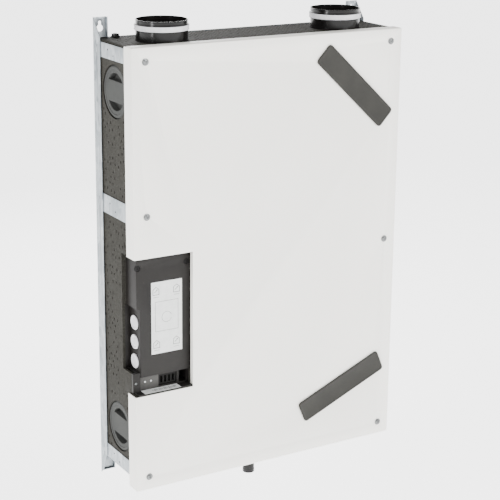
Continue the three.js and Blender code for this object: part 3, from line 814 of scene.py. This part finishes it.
def make_plugs():
    """A push-in foam stopper: a raised rim and two finger pockets with a bar between them."""
    grip, finger, depth = 25 * MM, 44 * MM, 17 * MM
    for side in SIDES:
        for end in ENDS:
            node = f"port_plug_{side}_{end}"
            low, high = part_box(node)
            middle = (low + high) / 2
            way = 1 if side == "left" else -1
            face = low.x if side == "left" else high.x
            centre = (face, middle.y, middle.z)
            profile = [
                (0, 1.2),
                (52.5, 1.2),
                (54, 0),
                (58.5, 0),
                (61.6, 2.6),
                (62.4, 6),
                (62.4, 28),
                (0, 28),
            ]
            disc = turned(profile, centre, "x", 96, 1.2, way)
            bmesh.ops.dissolve_limit(disc, angle_limit=0.01, verts=disc.verts, edges=disc.edges)
            pockets = []
            begin = math.asin(grip / finger)
            for turn in (0, math.pi):
                outline = []
                steps = 28
                for k in range(steps + 1):
                    angle = begin + turn + (math.pi - 2 * begin) * k / steps
                    outline.append(
                        (middle.y + finger * math.cos(angle), middle.z + finger * math.sin(angle))
                    )
                ends = sorted((face - way * MM, face + way * depth))
                pockets.append(plate(outline, ends[0], ends[1], "x"))
            stopper = carved(disc, *pockets)
            bmesh.ops.dissolve_limit(stopper, angle_limit=0.01, verts=stopper.verts, edges=stopper.edges)
            piece(f"stopper_{side}_{end}", softened(stopper, 0.8, 3, 60), node, PLUG_FOAM, smooth=38)


# ---------- Filters ----------


COVER_SLOPES = {"upper": -43, "lower": 23}


def make_filters():
    """A cap with round corners, a crowned edge and a shallow dish, its foam plug, and the filter."""
    half_long, half_wide, rim = 130.9 * MM, 28.9 * MM, 5.4 * MM
    for end in ENDS:
        cover = f"filter_cover_{end}"
        low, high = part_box(cover)
        middle = (low + high) / 2
        outline = rounded(rectangle((-half_long, half_long), (-half_wide, half_wide)), 10 * MM, 10)
        cap = plate(outline, low.y, high.y, "y", 1.5 * MM, 5)
        inner = rectangle((rim - half_long, half_long - rim), (rim - half_wide, half_wide - rim))
        dish = plate(rounded(inner, 7 * MM, 8), low.y - MM, low.y + 0.35 * MM)
        cap = carved(cap, dish)
        turn = Matrix.Rotation(-math.radians(COVER_SLOPES[end]), 4, "Y")
        cap.transform(Matrix.Translation((middle.x, 0, middle.z)) @ turn)
        piece(f"cover_cap_{end}", softened(cap, 0.3, 3, 40), cover, smooth=35)

        plug = f"cover_plug_{end}"
        piece(f"cover_stopper_{end}", softened(shape_of(plug), 1.6, 3, 50), plug, smooth=40)
        board = f"filter_frame_{end}"
        piece(f"filter_card_{end}", softened(shape_of(board), 0.4, 2, 50), board)
        media = f"filter_media_{end}"
        piece(f"filter_fleece_{end}", softened(shape_of(media), 0.9, 3, 50), media, smooth=60)


# ---------- Control box ----------


def from_corner(x, y, z):
    """A place in mm from the panel's lower left corner, with y from the wall."""
    return (LEFT + x * MM, y * MM, BOTTOM + z * MM)


def make_control_box():
    """The housing with its cable bay, the lid, the inlet and the terminal cover below the lid."""
    base = softened(shape_of("control_base"), 0.7, 3)
    # A thin plate of the housing's dark plastic just in front of the foam at the back of the cable bay,
    # so that the bay reads black
    bay_black_backing = block(from_corner(10.4, -129.4, 298.5), from_corner(24, -128.4, 457.5), 0.2 * MM)
    piece("control_housing", merged(base, bay_black_backing), "control_base", smooth=38)
    piece("control_cover", softened(shape_of("control_lid"), 0.35), "control_lid", smooth=38)
    piece("inlet_socket", softened(shape_of("supply_socket"), 0.5), "supply_socket", DEEP_BLACK)

    lid_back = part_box("control_lid")[1].y
    # The two lid screws sit at the bottom of their wells and are made deep black: painted shade of the
    # deep wells
    screw = [(0, 0.1), (7.6, 0.1), (7.6, 0.9), (5.4, 0.5), (4.2, 1.6), (0, 1.9)]
    for k, x in enumerate((17, 147)):
        x, _, z = from_corner(x, 0, 560)
        recess = cross_recess(x, z, lid_back - 3 * MM, lid_back - 0.7 * MM, 2.4 * MM, 0.6 * MM)
        bm = carved(turned(screw, (x, lid_back, z), "y", 48, 0.15, way=-1), *recess)
        piece(f"lid_screw_{k + 1}", bm, "control_lid", DEEP_BLACK, stands_in=False)

    face = -175.7
    cover = block(from_corner(24, face, 251.6), from_corner(74, -174.6, 285.6), 0.4 * MM)
    piece("terminal_cover", cover, "control_base", BOX_GREY, stands_in=False)
    # Two small domes, the rivet heads on the terminal cover, in the light label colour: their brightness
    # is painted highlight
    pip = [(0, 0), (2.4, 0), (2.0, 0.7), (0, 0.9)]
    for k, x in enumerate((38, 54)):
        bm = turned(pip, from_corner(x, face, 271), "y", 32, 0.15, way=-1)
        piece(f"terminal_rivet_glint_{k + 1}", bm, "control_base", LABEL, stands_in=False)


def make_grommets():
    """Membrane grommets, a rolled rim round a thin skin with a raised ring, and the housing's screw."""
    wall_x = LEFT + 24 * MM
    profile = [
        (0, 1.6),
        (5.5, 1.6),
        (6.2, 2.3),
        (7.4, 2.3),
        (8.1, 1.6),
        (12.6, 1.6),
        (14.2, 3.2),
        (17.0, 3.3),
        (17.9, 2.2),
        (17.9, 0.35),
        (14.4, 0.35),
        (14.4, -4.9),
        (0, -4.9),
    ]
    for i in (1, 2, 3):
        node = f"cable_grommet_{i}"
        middle = middle_of(node)
        centre = (wall_x, middle.y, middle.z)
        piece(f"grommet_{i}", turned(profile, centre, "x", 64, 0.4, way=-1), node, smooth=50)

    node = "control_screw"
    at = middle_of(node)
    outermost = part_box(node)[0].y
    seat = outermost + 2.4 * MM
    head = [(0, 2.35), (1.6, 2.2), (3.3, 0.9), (3.3, 0.35), (0, 0.35)]
    recess = cross_recess(at.x, at.z, outermost - MM, outermost + 1.2 * MM, 1.9 * MM, 0.4 * MM)
    piece("housing_screw", carved(turned(head, (at.x, seat, at.z), "y", 48, 0.2, way=-1), *recess), node)


# ---------- Labels ----------


def ribbon(points, width, at, thick, closed):
    """A thin printed line along points in x and z."""
    parts = []
    for a, b in zip(points, points[1:] + points[:1] if closed else points[1:]):
        start, end = Vector(a), Vector(b)
        way = (end - start).normalized() * width / 2
        side = Vector((-way.y, way.x))
        outline = [start - way + side, end + way + side, end + way - side, start - way - side]
        parts.append(plate([tuple(p) for p in outline], at - thick, at))
    return merged(*parts)


def arc(x, z, radius, start, end, steps=16):
    angles = [math.radians(start + (end - start) * k / steps) for k in range(steps + 1)]
    return [(x + radius * math.cos(a), z + radius * math.sin(a)) for a in angles]


def on_lid(x, z):
    """A place on the lid in mm from the panel's lower left corner."""
    return (LEFT + x * MM, BOTTOM + z * MM)


def make_lid_label():
    """A plain sheet with small line drawings of air paths."""
    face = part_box("control_lid")[0].y
    sheet_face = face - 0.2 * MM
    corner, opposite = on_lid(52.5, 340), on_lid(134.5, 519.5)
    outline = rounded(rectangle((corner[0], opposite[0]), (corner[1], opposite[1])), MM, 4)
    piece("lid_label", plate(outline, sheet_face, face + 0.1 * MM), "control_lid", LABEL, stands_in=False)

    thin, bold = 0.8 * MM, 1.2 * MM
    lines = []
    for x, z in ((65, 497), (120, 497), (66, 364), (119, 366)):
        walls = [on_lid(x - 8, z - 9), on_lid(x + 8, z - 9), on_lid(x + 8, z + 4)]
        roof = [on_lid(x, z + 10), on_lid(x - 8, z + 4)]
        lines.append((walls + roof, bold, True))
        lines.append(([on_lid(x - 4, z - 3), on_lid(x + 4, z + 3), on_lid(x + 1, z + 3.4)], bold, False))
        lines.append(([on_lid(x - 7, z - 15), on_lid(x + 7, z - 15)], thin, False))
    lines.append((arc(*on_lid(93.5, 430), 13 * MM, 20, 340), thin, False))
    low, high = on_lid(63, 396), on_lid(124, 470)
    lines.append((rectangle((low[0], high[0]), (low[1], high[1])), thin, True))
    parts = [
        ribbon(points, width, sheet_face, 0.08 * MM, closed)
        for points, width, closed in lines
    ]
    piece("lid_label_print", merged(*parts), "control_lid", INK, stands_in=False)


def make_ledge_label():
    """A strip with a row of plain bars."""
    ledge = BOTTOM + 250.2 * MM
    top = ledge + 0.25 * MM
    outline = rectangle((LEFT + 26 * MM, LEFT + 123 * MM), (-200.8 * MM, -176.4 * MM))
    strip = plate(rounded(outline, 0.8 * MM, 3), ledge, top, "z")
    piece("ledge_label", strip, "control_base", LABEL, stands_in=False)
    bars = []
    for k in range(15):
        x = LEFT + (52 + 4.3 * k) * MM
        wide = (1.2 + 1.3 * ((k * 5) % 3) / 2) * MM
        bar = rectangle((x, x + wide), (-193 * MM, -184 * MM))
        bars.append(plate(bar, top, top + 0.08 * MM, "z"))
    piece("ledge_label_print", merged(*bars), "control_base", INK, stands_in=False)


# ---------- Drain and gland ----------


def make_drain_and_gland():
    """A hose-barbed drain below the body, and the small cable gland on its roof."""
    node = "drain_stub"
    low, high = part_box(node)
    middle = (low + high) / 2
    length = (BOTTOM - low.z) / MM
    profile = [
        (13.6, -length),
        (15.2, -length),
        (15.9, -length + 1.6),
        (15.2, -length + 5),
        (15.9, -length + 7),
        (15.2, -length + 11),
        (15.2, 8),
        (21.8, 8),
        (21.8, 23.6),
        (15.9, 23.6),
        (15.9, 52.8),
        (13.6, 52.8),
    ]
    piece("drain_pipe", turned(profile, (middle.x, middle.y, BOTTOM), "z", 96, 0.4), node)

    node = "top_gland"
    middle = middle_of(node)
    profile = [(4.2, 0.35), (10.9, 0.35), (10.9, 2.8), (9, 4.4), (9, 8.9), (6.2, 8.9), (4.2, 7)]
    piece("roof_gland", turned(profile, (middle.x, middle.y, FOAM_HIGH.z), "z", 64, 0.5), node)


make_camera()
make_studio()
paint_frame()
make_panel()
make_screws()
make_rails()
make_straps()
make_body()
make_spigots()
make_plugs()
make_filters()
make_control_box()
make_grommets()
make_lid_label()
make_ledge_label()
make_drain_and_gland()
